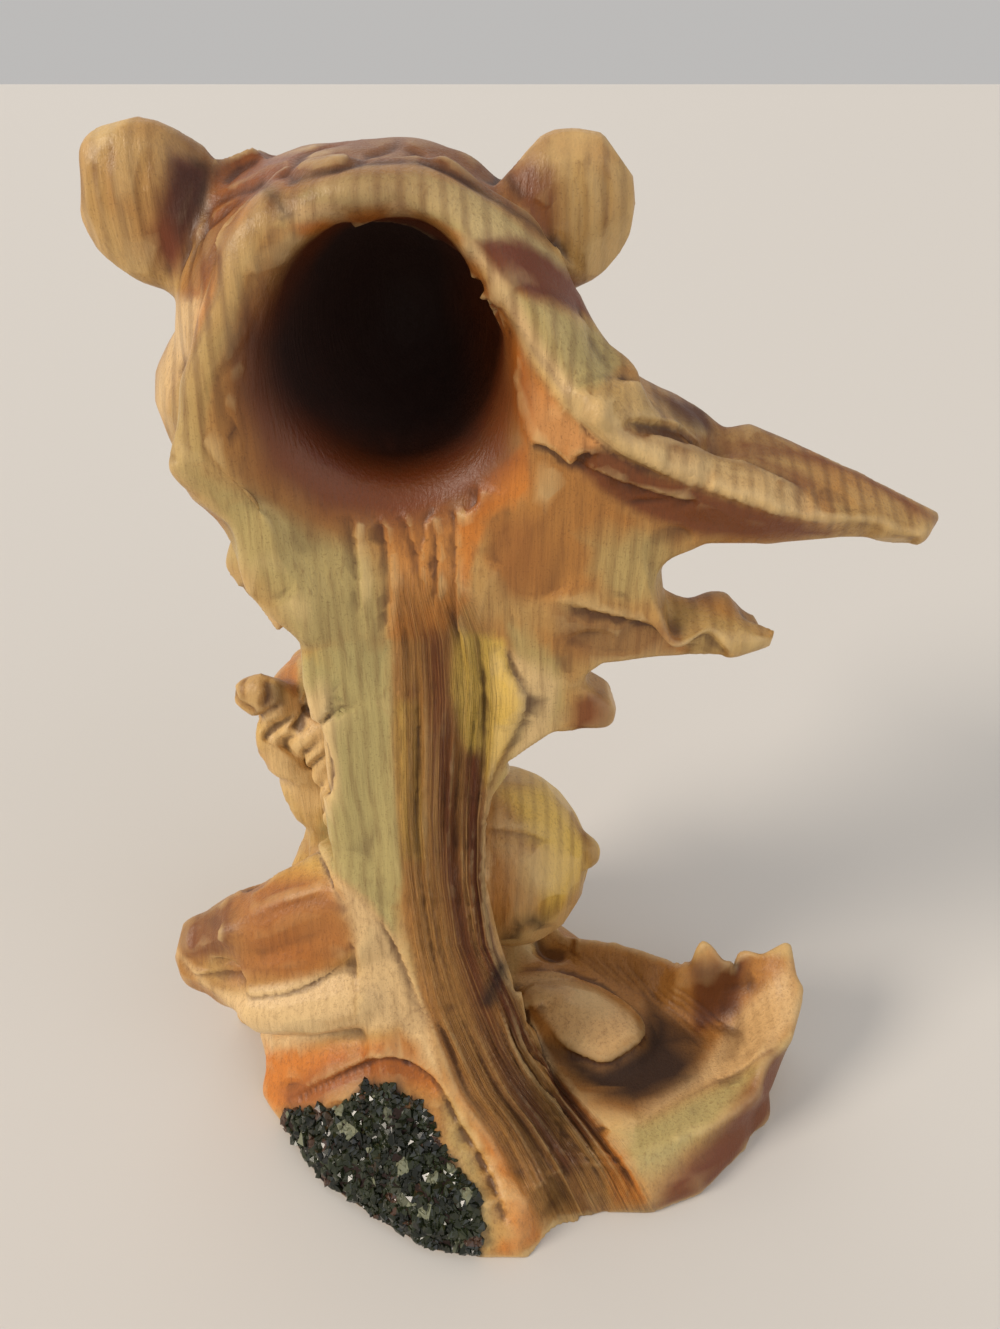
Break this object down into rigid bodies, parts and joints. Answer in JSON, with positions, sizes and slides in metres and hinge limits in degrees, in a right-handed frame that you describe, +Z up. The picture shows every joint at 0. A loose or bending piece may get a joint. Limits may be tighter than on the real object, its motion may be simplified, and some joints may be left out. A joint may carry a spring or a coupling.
{
  "type": "bear and cub statue",
  "caption": "Small cast resin statue in the look of carved driftwood: a mother bear's head with a deep hollow back on a trunk, and her cub at its foot.",
  "frame": {"origin": "on the flat underside, below the middle of the foot", "axes": "+Z up; the mother's face looks along -Y and the hollow back along +Y; the long swept point is on the -X side"},
  "size_m": [0.1857, 0.1784, 0.2494],
  "materials": {
    "bear_and_cub": "satin"
  },
  "bodies": {
    "root": {"bear_and_cub": "bear_and_cub"}
  },
  "joints": []
}
